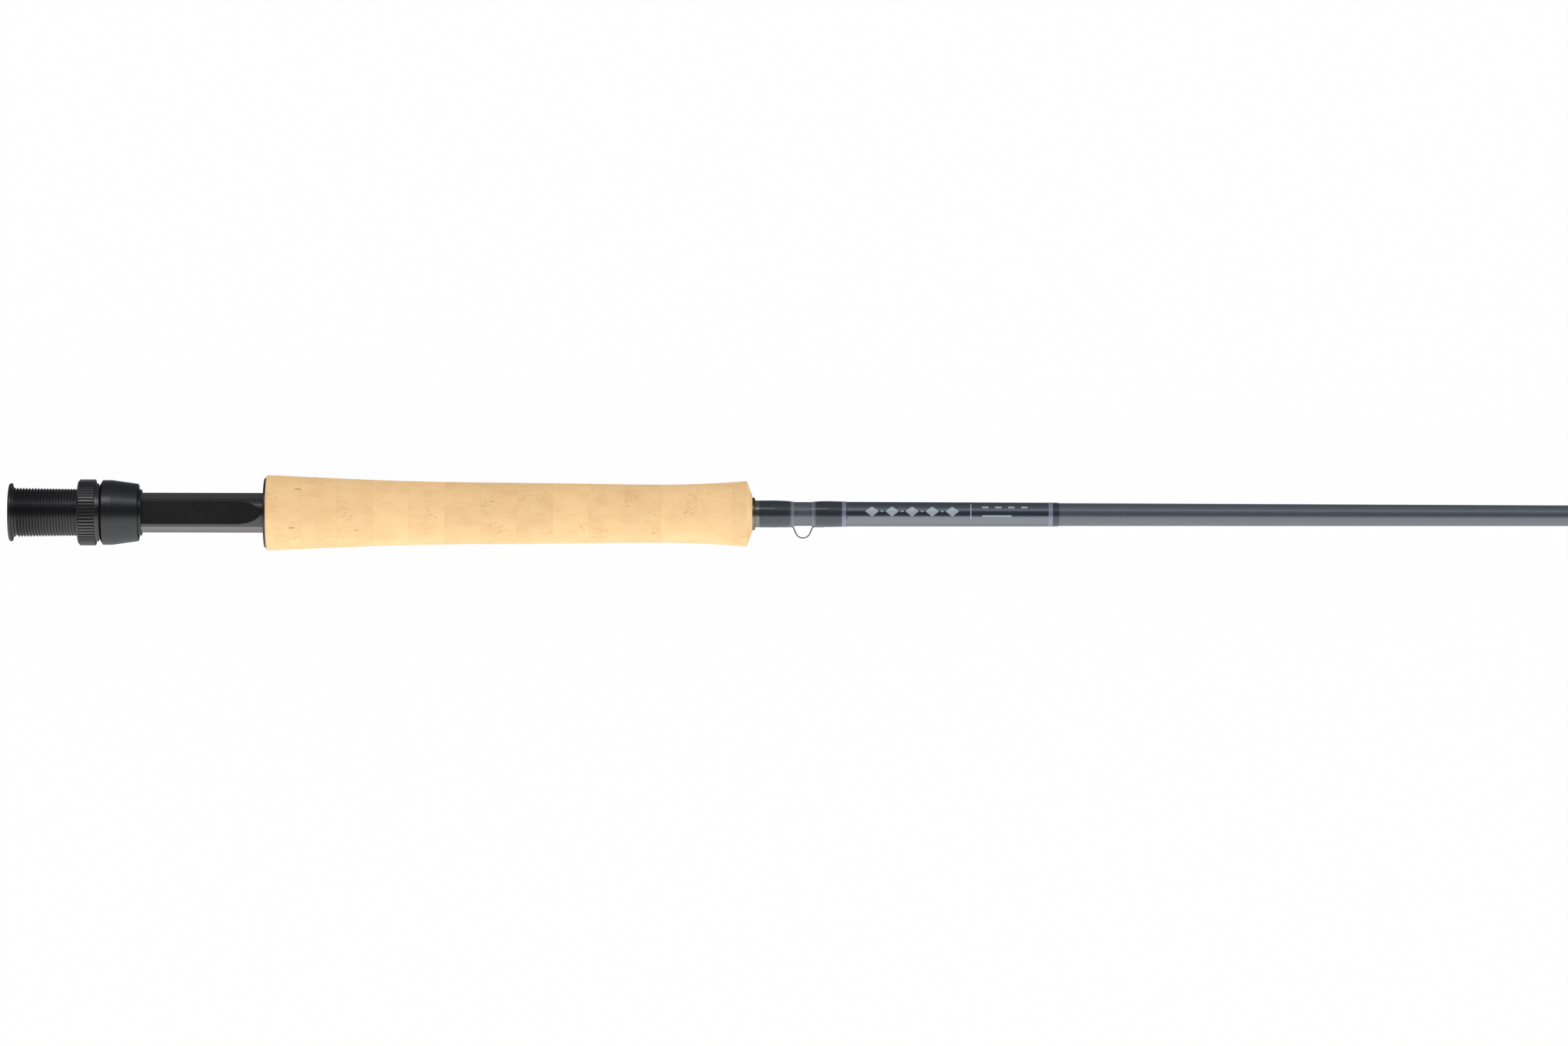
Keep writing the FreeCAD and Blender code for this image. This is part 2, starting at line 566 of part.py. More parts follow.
def add_upper_sections():
    names = ("section_2", "section_3", "tip_section")
    for section, name in enumerate(names, start=1):
        start = SPANS[section][0]
        parts[name + "_blank"] = make_upper_blank(section)
        wrap_end = start + FERRULE_WRAP_LENGTHS[section - 1]
        parts[name + "_ferrule_wrap"] = rounded_sleeve(
            start + 0.8, wrap_end, over_blank(section, start + 0.8, wrap_end),
            over_blank(section, start + 0.8, wrap_end, WRAP_THICKNESS), 1.5)
        guides, wraps = [], []
        for x in SNAKE_X[section - 1]:
            guide, pair = make_snake_guide(section, x)
            guides.append(guide)
            wraps += pair
        parts[name + "_snake_guides"] = Part.makeCompound(guides)
        if section == 1:
            for index in range(len(STRIPPING_X)):
                frame, insert, pair = make_stripping_guide(index)
                parts["stripping_guide_%d" % (index + 1)] = frame
                parts["stripping_guide_ring_%d" % (index + 1)] = insert
                wraps += pair
        parts[name + "_guide_wraps"] = Part.makeCompound(wraps)
    parts["tip_top"] = make_tip_top()
    wrap_start = SPANS[3][1] - TIP_TUBE_LENGTH - 7.0
    wrap_end = SPANS[3][1] - TIP_TUBE_LENGTH + 0.9
    parts["tip_top_wrap"] = rounded_sleeve(wrap_start, wrap_end, over_blank(3, wrap_start, wrap_end),
                                           over_blank(3, wrap_start, wrap_end, WRAP_THICKNESS), 1.0)


def main():
    add_reel_seat()
    parts["butt_blank"] = make_butt_blank()
    add_cork_rings()
    add_butt_trim()
    add_upper_sections()
    os.makedirs("parts", exist_ok=True)
    for name, shape in parts.items():
        solids = shape.Solids
        bad = [solid for solid in solids if not solid.isValid() or solid.Volume <= 0]
        state = "BAD" if bad else "ok"
        print("%-28s solids %2d  volume %10.2f  %s" % (name, len(solids), shape.Volume, state))
        shape.exportStep("parts/%s.step" % name)
    print(len(parts), "nodes")


main()
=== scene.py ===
"""Looks of the four-piece fly rod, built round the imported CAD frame.

Metres everywhere unless a name says mm. The rod axis is X, butt at x = 0, reel and guides towards -Y.
Turned pieces take their outlines from the CAD nodes that they replace.
"""
import functools
import json
import math
import random

import bpy
import bmesh
import numpy as np
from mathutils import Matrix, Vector


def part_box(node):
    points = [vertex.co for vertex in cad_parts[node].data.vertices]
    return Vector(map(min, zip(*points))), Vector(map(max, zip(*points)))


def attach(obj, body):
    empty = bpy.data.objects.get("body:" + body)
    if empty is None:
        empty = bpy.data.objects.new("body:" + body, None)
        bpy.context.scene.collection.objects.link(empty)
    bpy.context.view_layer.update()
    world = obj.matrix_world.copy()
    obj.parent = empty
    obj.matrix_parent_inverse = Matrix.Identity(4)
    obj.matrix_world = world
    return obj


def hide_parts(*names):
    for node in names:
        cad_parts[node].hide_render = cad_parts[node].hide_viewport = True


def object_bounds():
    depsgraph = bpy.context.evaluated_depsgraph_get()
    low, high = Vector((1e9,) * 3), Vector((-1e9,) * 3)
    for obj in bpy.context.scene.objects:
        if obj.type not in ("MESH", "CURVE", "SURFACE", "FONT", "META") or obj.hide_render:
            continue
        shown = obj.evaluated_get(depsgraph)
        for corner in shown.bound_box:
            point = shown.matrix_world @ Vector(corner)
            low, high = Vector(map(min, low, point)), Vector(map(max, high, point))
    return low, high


MM = 0.001
TAPE_PITCH = 0.0021     # helical ridges that the wrapping tape leaves on the blank
SILK_PITCH = 0.00018    # wound thread of the wraps
WRAP_SKIN = 0.30 * MM   # epoxy and thread over the blank
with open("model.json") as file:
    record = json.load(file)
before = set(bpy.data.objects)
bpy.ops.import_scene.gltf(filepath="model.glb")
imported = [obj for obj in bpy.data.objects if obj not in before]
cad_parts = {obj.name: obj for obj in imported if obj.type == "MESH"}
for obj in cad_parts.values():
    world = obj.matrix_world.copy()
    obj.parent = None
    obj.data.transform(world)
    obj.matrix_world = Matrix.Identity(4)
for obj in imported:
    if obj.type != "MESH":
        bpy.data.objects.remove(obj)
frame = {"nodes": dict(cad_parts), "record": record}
cad_low, cad_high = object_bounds()
BODY_OF = {node: body for body, nodes in frame["record"]["behaviour"]["bodies"].items() for node in nodes}


# ---- meshes ----
def new_object(name, mesh, body, material, sharp=40.0):
    """Mesh object with smooth shading and sharp edges, riding on a body."""
    work = bmesh.new()
    work.from_mesh(mesh)
    bmesh.ops.remove_doubles(work, verts=work.verts, dist=1e-8)
    bmesh.ops.recalc_face_normals(work, faces=work.faces)
    work.to_mesh(mesh)
    work.free()
    mesh.polygons.foreach_set("use_smooth", [True] * len(mesh.polygons))
    mesh.set_sharp_from_angle(angle=math.radians(sharp))
    piece = bpy.data.objects.new(name, mesh)
    bpy.context.scene.collection.objects.link(piece)
    mesh.materials.append(material)
    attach(piece, body)
    return piece


def ring_grid(rows):
    """Vertices and quads from rows of equally many points, each row closed round."""
    count = len(rows[0])
    verts = [tuple(point) for row in rows for point in row]
    faces = []
    for i in range(len(rows) - 1):
        for j in range(count):
            k = (j + 1) % count
            faces.append((i * count + j, i * count + k, (i + 1) * count + k, (i + 1) * count + j))
    return verts, faces


def turned_rows(outline, segments):
    """Rows of points round the rod axis, one for each (x, radius) of the outline."""
    angles = np.linspace(0.0, 2 * math.pi, segments, endpoint=False)
    rows = []
    for x, r in outline:
        rows.append(np.column_stack((np.full(segments, x), -r * np.cos(angles), r * np.sin(angles))))
    return rows


def turned_mesh(name, outline, segments):
    """Closed mesh turned from a closed outline that nowhere touches the axis."""
    verts, faces = ring_grid(turned_rows(list(outline) + [outline[0]], segments))
    mesh = bpy.data.meshes.new(name)
    mesh.from_pydata(verts, [], faces)
    return mesh


@functools.lru_cache(maxsize=None)
def cad_outline(node, outward=True):
    """(x, radius) along a turned CAD node's outer or inner surface, read from its mesh."""
    vertices = frame["nodes"][node].data.vertices
    points, normals = np.zeros(len(vertices) * 3), np.zeros(len(vertices) * 3)
    vertices.foreach_get("co", points)
    vertices.foreach_get("normal", normals)
    points, normals = points.reshape(-1, 3), normals.reshape(-1, 3)
    radius = np.hypot(points[:, 1], points[:, 2])
    facing = (points[:, 1:] * normals[:, 1:]).sum(1) / np.maximum(radius, 1e-9)
    chosen = facing > 0.3 if outward else facing < -0.3
    found = {}
    for x, r in zip(np.round(points[chosen, 0], 5), radius[chosen]):
        found[x] = max(r, found.get(x, 0.0)) if outward else min(r, found.get(x, 1.0))
    return sorted(found.items())


def smooth_outline(points, step):
    """The same outline with its corners rounded, sampled about every step."""
    xs = np.array([x for x, _ in points])
    rs = np.array([r for _, r in points])
    count = max(8, int(round((xs[-1] - xs[0]) / step)))
    x = np.linspace(xs[0], xs[-1], count + 1)
    r = np.interp(x, xs, rs)
    for _ in range(3):
        r[1:-1] = 0.25 * r[:-2] + 0.5 * r[1:-1] + 0.25 * r[2:]
    return list(zip(x, r))


# ---- shader nodes ----
def put(tree, kind, settings=None, **inputs):
    """New node; inputs are constants or sockets, named like the sockets with _ for a space."""
    node = tree.nodes.new(kind)
    for key, value in (settings or {}).items():
        setattr(node, key, value)
    for key, value in inputs.items():
        socket = node.inputs[int(key[1:])] if key[0] == "i" and key[1:].isdigit() \
            else node.inputs[key.replace("_", " ")]
        if isinstance(value, bpy.types.NodeSocket):
            tree.links.new(value, socket)
        else:
            socket.default_value = value
    return node


def maths(tree, operation, a, b=0.0):
    return put(tree, "ShaderNodeMath", {"operation": operation}, i0=a, i1=b).outputs[0]


def ramp(tree, factor, stops):
    """Colour ramp; stops are (position, grey value or colour)."""
    node = put(tree, "ShaderNodeValToRGB", None, i0=factor)
    elements = node.color_ramp.elements
    while len(elements) < len(stops):
        elements.new(0.5)
    for element, (position, value) in zip(elements, stops):
        element.position = position
        colour = value if isinstance(value, tuple) else (value, value, value)
        element.color = (*colour, 1.0)
    return node.outputs[0]


def mixed(tree, factor, a, b):
    node = put(tree, "ShaderNodeMix", {"data_type": "RGBA"}, i0=factor)
    for index, value in ((6, a), (7, b)):
        if isinstance(value, bpy.types.NodeSocket):
            tree.links.new(value, node.inputs[index])
        else:
            node.inputs[index].default_value = (*value, 1.0)
    return node.outputs[2]


def tinted(tree, colour, tint):
    node = put(tree, "ShaderNodeMix", {"data_type": "RGBA", "blend_type": "MULTIPLY"}, i0=1.0)
    tree.links.new(colour, node.inputs[6])
    tree.links.new(tint, node.inputs[7])
    return node.outputs[2]


def noise(tree, vector, scale, detail=3.0):
    return put(tree, "ShaderNodeTexNoise", None, Vector=vector, Scale=scale, Detail=detail).outputs[0]


def stretched(tree, vector, scale):
    return put(tree, "ShaderNodeMapping", None, Vector=vector, Scale=scale).outputs[0]


def bumped(tree, height, strength, distance):
    return put(tree, "ShaderNodeBump", None, Height=height, Strength=strength, Distance=distance).outputs[0]


def new_material(name, **constants):
    """Material with one Principled shader; constants go on its own sockets."""
    material = bpy.data.materials.new(name)
    material.use_nodes = True
    tree = material.node_tree
    shader = tree.nodes["Principled BSDF"]
    for key, value in constants.items():
        shader.inputs[key.replace("_", " ")].default_value = value
    place = tree.nodes.new("ShaderNodeTexCoord").outputs["Object"]
    return material, tree, shader, place


def anodised(name, base, rough, ior, grain, dull_band=None):
    """Bead-blasted and dyed aluminium: fine grain, faint turning marks, slight tone changes.

    dull_band is (from, to), distances off the XZ plane between which a duller band turns polished.
    """
    material, tree, shader, place = new_material(name, IOR=ior)
    tone = noise(tree, place, 90.0)
    shades = [(0.3, tuple(0.86 * c for c in base)), (0.7, tuple(1.14 * c for c in base))]
    tree.links.new(ramp(tree, tone, shades), shader.inputs["Base Color"])
    blast = noise(tree, place, 3000.0, 2.0)
    rough_tone = noise(tree, stretched(tree, place, (6.0, 1.0, 1.0)), 500.0)
    tree.links.new(ramp(tree, rough_tone, [(0.3, rough - 0.03), (0.7, rough + 0.03)]),
                   shader.inputs["Roughness"])
    tree.links.new(bumped(tree, blast, grain, 0.00002), shader.inputs["Normal"])
    if dull_band:
        axes = put(tree, "ShaderNodeSeparateXYZ", None, Vector=place)
        off = maths(tree, "ABSOLUTE", axes.outputs["Y"])
        level = put(tree, "ShaderNodeMapRange", None, Value=off, From_Min=dull_band[0], From_Max=dull_band[1],
                    To_Min=0.16, To_Max=0.5)
        tree.links.new(level.outputs[0], shader.inputs["Specular IOR Level"])
    return material


def cork_material():
    """Natural cork: warm tone drifting by patches, fine cells, short brown dashes and the modelled pits."""
    material, tree, shader, place = new_material("cork_natural", IOR=1.38)
    shader.inputs["Specular IOR Level"].default_value = 0.25
    attribute = put(tree, "ShaderNodeAttribute", {"attribute_name": "cork"})
    parts = put(tree, "ShaderNodeSeparateColor", None, Color=attribute.outputs["Color"])
    pit, tone, shift = parts.outputs[0], parts.outputs[1], parts.outputs[2]
    drift = put(tree, "ShaderNodeCombineXYZ", None, X=0.0, Y=shift, Z=tone)
    moved = put(tree, "ShaderNodeVectorMath", {"operation": "ADD"}, i0=place, i1=drift.outputs[0]).outputs[0]
    patches = noise(tree, stretched(tree, moved, (0.7, 1.0, 1.0)), 190.0, 4.0)
    colour = ramp(tree, patches, [(0.30, (0.542, 0.354, 0.173)), (0.48, (0.573, 0.385, 0.192)),
                                  (0.70, (0.600, 0.413, 0.212))])
    streaks = noise(tree, stretched(tree, moved, (0.22, 1.0, 1.0)), 1300.0, 3.0)
    colour = mixed(tree, ramp(tree, streaks, [(0.52, 0.0), (0.72, 0.25)]), colour, (0.48, 0.300, 0.145))
    cells = noise(tree, moved, 5200.0, 2.0)
    colour = mixed(tree, ramp(tree, cells, [(0.50, 0.0), (0.75, 0.25)]), colour, (0.47, 0.30, 0.15))
    ring_tone = ramp(tree, tone, [(0.0, (0.955, 0.95, 0.94)), (1.0, (1.03, 1.03, 1.03))])
    toned = tinted(tree, colour, ring_tone)
    dark = ramp(tree, pit, [(0.0, 0.0), (1.0, 1.0)])
    tree.links.new(mixed(tree, dark, toned, (0.135, 0.072, 0.036)), shader.inputs["Base Color"])
    tree.links.new(ramp(tree, patches, [(0.2, 0.62), (0.8, 0.80)]), shader.inputs["Roughness"])
    tree.links.new(bumped(tree, cells, 0.35, 0.00006), shader.inputs["Normal"])
    return material


def blank_material():
    """Slate lacquer over the carbon tube, with the faint helical ridges that the wrapping tape leaves."""
    material, tree, shader, place = new_material("slate_lacquer", IOR=1.62, Coat_Weight=0.25,
                                                 Coat_Roughness=0.22)
    tone = noise(tree, stretched(tree, place, (0.5, 1.0, 1.0)), 260.0)
    tree.links.new(ramp(tree, tone, [(0.3, (0.0320, 0.0400, 0.0500)), (0.7, (0.0345, 0.0430, 0.0535))]),
                   shader.inputs["Base Color"])
    flake = noise(tree, place, 9000.0, 1.0)
    tree.links.new(ramp(tree, tone, [(0.3, 0.26), (0.7, 0.28)]), shader.inputs["Roughness"])
    axes = put(tree, "ShaderNodeSeparateXYZ", None, Vector=place)
    turn = maths(tree, "ARCTAN2", axes.outputs["Z"], axes.outputs["Y"])
    along = maths(tree, "MULTIPLY", axes.outputs["X"], 2 * math.pi / TAPE_PITCH)
    ridge = maths(tree, "SINE", maths(tree, "ADD", along, turn))
    height = maths(tree, "ADD", maths(tree, "MULTIPLY", ridge, 0.5), maths(tree, "MULTIPLY", flake, 0.4))
    tree.links.new(bumped(tree, height, 0.02, 0.00002), shader.inputs["Normal"])
    return material


def thread_material(name, dark, light, clear_ends=()):
    """Silk thread wound at a fixed pitch under clear epoxy; clear_ends are (x from, x to) with no thread."""
    material, tree, shader, place = new_material(name, IOR=1.3, Coat_Weight=1.0, Coat_Roughness=0.035,
                                                 Coat_IOR=1.47)
    shader.inputs["Specular IOR Level"].default_value = 0.2
    axes = put(tree, "ShaderNodeSeparateXYZ", None, Vector=place)
    along = maths(tree, "MULTIPLY", axes.outputs["X"], 2 * math.pi / SILK_PITCH)
    wave = maths(tree, "SINE", along)
    level = maths(tree, "MULTIPLY_ADD", wave, 0.5)
    level.node.inputs[2].default_value = 0.5
    patches = noise(tree, place, 700.0)
    blend = maths(tree, "MULTIPLY", level, patches)
    colour = ramp(tree, blend, [(0.05, dark), (0.60, light)])
    for x_from, x_to in clear_ends:
        rise = put(tree, "ShaderNodeMapRange", None, Value=axes.outputs["X"], From_Min=x_from, From_Max=x_to)
        colour = mixed(tree, rise.outputs[0], colour, (0.085, 0.105, 0.118))
    tree.links.new(colour, shader.inputs["Base Color"])
    shader.inputs["Roughness"].default_value = 0.55
    tree.links.new(bumped(tree, wave, 0.25, 0.00003), shader.inputs["Normal"])
    flow = noise(tree, stretched(tree, place, (0.5, 1.0, 1.0)), 330.0, 1.0)
    tree.links.new(bumped(tree, flow, 0.10, 0.00008), shader.inputs["Coat Normal"])
    return material


def lacquer_material(name, base, ior, spread=0.10):
    """Deep gloss over a plain colour; the coat's surface is very slightly uneven."""
    material, tree, shader, place = new_material(name, IOR=1.3, Coat_Weight=1.0, Coat_Roughness=0.03,
                                                 Coat_IOR=ior)
    shader.inputs["Specular IOR Level"].default_value = 0.1
    tone = noise(tree, stretched(tree, place, (0.3, 1.0, 1.0)), 400.0)
    shades = [(0.3, tuple((1 - spread) * c for c in base)), (0.7, tuple((1 + spread) * c for c in base))]
    tree.links.new(ramp(tree, tone, shades), shader.inputs["Base Color"])
    tree.links.new(ramp(tree, tone, [(0.2, 0.45), (0.8, 0.60)]), shader.inputs["Roughness"])
    flow = noise(tree, stretched(tree, place, (0.25, 1.0, 1.0)), 300.0, 1.0)
    tree.links.new(bumped(tree, flow, 0.05, 0.00008), shader.inputs["Coat Normal"])
    return material


def metal_material(name, dark, light, rough, metallic=1.0, marks=3000.0):
    """Drawn or turned metal with fine marks across the X axis."""
    material, tree, shader, place = new_material(name, Metallic=metallic)
    lines = noise(tree, stretched(tree, place, (1.0, 0.12, 0.12)), marks, 2.0)
    tree.links.new(ramp(tree, lines, [(0.3, dark), (0.7, light)]), shader.inputs["Base Color"])
    tree.links.new(ramp(tree, lines, [(0.3, rough), (0.7, rough + 0.10)]), shader.inputs["Roughness"])
    tree.links.new(bumped(tree, lines, 0.10, 0.00002), shader.inputs["Normal"])
    return material


BLACK = anodised("anodised_black", (0.0050, 0.0050, 0.0056), 0.29, 1.41, 0.012)
BLACK_RING = anodised("anodised_black_ring", (0.0098, 0.0092, 0.0094), 0.30, 1.53, 0.012)
INSERT = anodised("seat_insert_black", (0.0096, 0.0092, 0.0093), 0.22, 2.05, 0.010, (4.9 * MM, 5.2 * MM))
CORK = cork_material()
SLATE = blank_material()
THREAD_DARK, THREAD_LIGHT = (0.0092, 0.0128, 0.0156), (0.0178, 0.0232, 0.0272)
WRAP = thread_material("wrap_thread", THREAD_DARK, THREAD_LIGHT)
LABEL = lacquer_material("label_navy", (0.0110, 0.0172, 0.0250), 1.95)
MARK = lacquer_material("label_mark", (0.205, 0.235, 0.250), 1.70, 0.06)
TRIM = lacquer_material("trim_lavender", (0.098, 0.104, 0.150), 1.66)
TRIM_GREY = lacquer_material("trim_grey_green", (0.028, 0.028, 0.021), 1.90)
BRONZE = metal_material("check_bronze", (0.085, 0.068, 0.048), (0.225, 0.178, 0.124), 0.24)
STEEL = metal_material("guide_steel", (0.30, 0.31, 0.32), (0.46, 0.47, 0.48), 0.20)
KEEPER = metal_material("keeper_steel", (0.16, 0.16, 0.165), (0.26, 0.26, 0.265), 0.26)
CERAMIC = lacquer_material("ring_ceramic", (0.030, 0.032, 0.036), 1.75)
NYLON = lacquer_material("washer_nylon", (0.62, 0.60, 0.55), 1.40)
ARBOR = metal_material("arbor_foam", (0.10, 0.10, 0.11), (0.14, 0.14, 0.15), 0.60, metallic=0.0)


def paint(node, material):
    """Gives a CAD node that keeps its own shape its material."""
    piece = frame["nodes"][node]
    for slot in piece.material_slots:
        slot.material = material


for cad_node in ("butt_cap", "threaded_barrel", "sliding_hood", "fixed_hood", "grip_rear_plate"):
    paint(cad_node, BLACK)
paint("lock_ring", BLACK_RING)
paint("seat_insert", INSERT)
paint("seat_arbor", ARBOR)
paint("slip_washer", NYLON)
paint("winding_check", BRONZE)
paint("check_trim_band", TRIM_GREY)
paint("label_rear_band", TRIM)
paint("label_front_band", TRIM)
paint("hook_keeper", KEEPER)
paint("tip_top", STEEL)
for number in (1, 2):
    paint("stripping_guide_%d" % number, STEEL)
    paint("stripping_guide_ring_%d" % number, CERAMIC)


# ---- blanks ----
def make_blank(node):
    """Fine tube with the CAD blank's outline: its outer and its inner surface, read as they are."""
    outer, inner = cad_outline(node), cad_outline(node, outward=False)

    def dense(points):
        rows = []
        for (x0, r0), (x1, r1) in zip(points, points[1:]):
            steps = max(1, int((x1 - x0) / 0.02))
            rows += [(x0 + (x1 - x0) * i / steps, r0 + (r1 - r0) * i / steps) for i in range(steps)]
        return rows + [points[-1]]

    outline = dense(outer) + dense(inner)[::-1]
    piece = new_object(node.replace("blank", "tube"), turned_mesh(node, outline, 96), BODY_OF[node], SLATE,
                       30.0)
    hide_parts(node)


for cad_node in ("butt_blank", "section_2_blank", "section_3_blank", "tip_section_blank"):
    make_blank(cad_node)


# ---- cork rings ----
CORK_STEP = 0.30 * MM
CORK_SEGMENTS = 320


def cork_pits(rng, x0, x1, radius):
    """Dashes and pits of one ring: middle x, angle, half length, half width, depth, darkness."""
    pits = []
    width = x1 - x0
    girth = 2 * math.pi * radius
    for _ in range(rng.randint(4, 8)):
        middle_x, middle_s = x0 + width * rng.random(), girth * rng.random()
        for _ in range(rng.randint(5, 14)):
            pits.append((middle_x + rng.gauss(0, 1.7 * MM), (middle_s + rng.gauss(0, 1.8 * MM)) / radius,
                         rng.uniform(0.3, 0.9) * MM, rng.uniform(0.15, 0.24) * MM,
                         rng.uniform(0.02, 0.07) * MM, rng.uniform(0.12, 0.42)))
    for _ in range(rng.randint(24, 40)):
        pits.append((x0 + width * rng.random(), 2 * math.pi * rng.random(), rng.uniform(0.2, 0.6) * MM,
                     rng.uniform(0.14, 0.20) * MM, rng.uniform(0.01, 0.04) * MM, rng.uniform(0.05, 0.25)))
    for _ in range(rng.choice((0, 1, 1, 2))):
        pits.append((x0 + width * rng.random(), 2 * math.pi * rng.random(), rng.uniform(0.8, 1.5) * MM,
                     rng.uniform(0.20, 0.30) * MM, rng.uniform(0.08, 0.16) * MM, rng.uniform(0.50, 0.80)))
    return pits


def make_cork_ring(number):
    """One turned cork ring with its pits sunk into the surface."""
    node = "cork_ring_%02d" % number
    rng = random.Random(4100 + number)
    outer = cad_outline(node)
    inner = cad_outline(node, outward=False)
    xs, rs = np.array(outer).T
    count = max(6, int(round((xs[-1] - xs[0]) / CORK_STEP)))
    x = np.union1d(np.linspace(xs[0], xs[-1], count + 1), xs)
    x = x[np.concatenate(([True], np.diff(x) > 2e-5))]
    r = np.interp(x, xs, rs)
    angle = np.linspace(0.0, 2 * math.pi, CORK_SEGMENTS, endpoint=False)
    grid_x, grid_a = np.meshgrid(x, angle, indexing="ij")
    sunk, dark = np.zeros_like(grid_x), np.zeros_like(grid_x)
    mean_r = float(r.mean())
    for pit_x, pit_a, half_length, half_width, depth, shade in cork_pits(rng, x[0], x[-1], mean_r):
        turn = (grid_a - pit_a + math.pi) % (2 * math.pi) - math.pi
        reach = ((grid_x - pit_x) / half_length) ** 2 + (turn * mean_r / half_width) ** 2
        dip = np.clip(1.0 - reach, 0.0, 1.0)
        sunk = np.maximum(sunk, depth * dip)
        dark = np.maximum(dark, shade * np.sqrt(dip))
    for frequency, height in ((7, 0.004), (17, 0.003), (31, 0.002)):
        phase_a, phase_x = rng.random() * 6.28, rng.random() * 6.28
        wave = np.sin(frequency * grid_a + phase_a) * np.cos(grid_x * 90 * frequency + phase_x)
        sunk += height * MM * (1 + wave)
    edge = np.minimum(grid_x - x[0], x[-1] - grid_x)
    sunk += 0.02 * MM * np.exp(-(edge / (0.18 * MM)) ** 2)
    dark = np.maximum(dark, 0.05 * np.exp(-(edge / (0.22 * MM)) ** 2))
    radius = r[:, None] - sunk
    rows = [np.column_stack((grid_x[i], -radius[i] * np.cos(angle), radius[i] * np.sin(angle)))
            for i in range(len(x))]
    rows += turned_rows(inner[::-1], CORK_SEGMENTS)
    shade_rows = [dark[i] for i in range(len(x))] + [np.zeros(CORK_SEGMENTS)] * len(inner)
    verts, faces = ring_grid(rows + rows[:1])
    last = len(rows) * CORK_SEGMENTS
    faces = [tuple(v % last for v in face) for face in faces]
    mesh = bpy.data.meshes.new(node)
    mesh.from_pydata(verts[:last], [], faces)
    colours = mesh.color_attributes.new("cork", "FLOAT_COLOR", "POINT")
    values = np.ones((last, 4), np.float32)
    values[:, 0] = np.concatenate(shade_rows)
    values[:, 1] = rng.random()
    values[:, 2] = rng.random()
    colours.data.foreach_set("color", values.ravel())
    piece = new_object("cork_%02d" % number, mesh, BODY_OF[node], CORK, 60.0)
    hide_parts(node)


for ring_number in range(1, 15):
    make_cork_ring(ring_number)


# ---- wraps, label coat ----
def make_turned_copy(node, name, material, step, segments=128):
    """Turned piece with the CAD node's outline and softer corners."""
    outer = smooth_outline(cad_outline(node), step)
    inner = cad_outline(node, outward=False)
    mesh = turned_mesh(name, outer + inner[::-1], segments)
    piece = new_object(name, mesh, BODY_OF[node], material, 50.0)
    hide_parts(node)


rear_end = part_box("keeper_rear_wrap")[1].x
front_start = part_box("keeper_front_wrap")[0].x
REAR_WRAP = thread_material("wrap_thread_rear", THREAD_DARK, THREAD_LIGHT,
                            [(rear_end - 0.0016, rear_end - 0.0004)])
FRONT_WRAP = thread_material("wrap_thread_front", THREAD_DARK, THREAD_LIGHT,
                             [(front_start + 0.0016, front_start + 0.0004)])
make_turned_copy("keeper_rear_wrap", "keeper_wrap_rear", REAR_WRAP, 0.25 * MM)
make_turned_copy("keeper_front_wrap", "keeper_wrap_front", FRONT_WRAP, 0.25 * MM)
make_turned_copy("label_front_wrap", "label_wrap_front", WRAP, 0.15 * MM)
make_turned_copy("label_coat", "label_lacquer", LABEL, 1.0 * MM, 160)
for section_name in ("section_2", "section_3", "tip_section"):
    make_turned_copy(section_name + "_ferrule_wrap", section_name + "_sleeve_wrap", WRAP,
                     0.3 * MM, 96)
make_turned_copy("tip_top_wrap", "tip_wrap", WRAP, 0.2 * MM, 64)


# ---- generic marks on the label coat: lozenges, dashes and bars, no lettering ----
def label_patch(corners, radius, rows=10, columns=24):
    """Four-sided patch bent round the label coat; corners are (x, angle from +Z towards +Y)."""
    (xa, aa), (xb, ab), (xc, ac), (xd, ad) = corners
    verts, faces = [], []
    for lift in (0.0, 0.015 * MM):
        for i in range(rows + 1):
            v = i / rows
            for j in range(columns + 1):
                u = j / columns
                x = (1 - v) * ((1 - u) * xa + u * xb) + v * ((1 - u) * xd + u * xc)
                a = (1 - v) * ((1 - u) * aa + u * ab) + v * ((1 - u) * ad + u * ac)
                verts.append((x, (radius(x) + lift) * math.sin(a), (radius(x) + lift) * math.cos(a)))
    stride, sheet = columns + 1, (rows + 1) * (columns + 1)
    for i in range(rows):
        for j in range(columns):
            a, b, c, d = i * stride + j, i * stride + j + 1, (i + 1) * stride + j + 1, (i + 1) * stride + j
            faces += [(a, b, c, d), (d + sheet, c + sheet, b + sheet, a + sheet)]
    rim = [j for j in range(columns)] + [i * stride + columns for i in range(rows)] \
        + [rows * stride + j for j in range(columns, 0, -1)] + [i * stride for i in range(rows, 0, -1)]
    for a, b in zip(rim, rim[1:] + rim[:1]):
        faces.append((b, a, a + sheet, b + sheet))
    return verts, faces


# along the rod in mm, round it in degrees
MARK_PITCH = 7.1
LOZENGE_START, LOZENGE_HALF_LENGTH = 305.4, 2.4
SMALL_DASH_START, SMALL_DASH_HALF_LENGTH = 308.95, 0.55
DASH_START, DASH_PITCH, DASH_LENGTH = 344.4, 4.6, 2.2


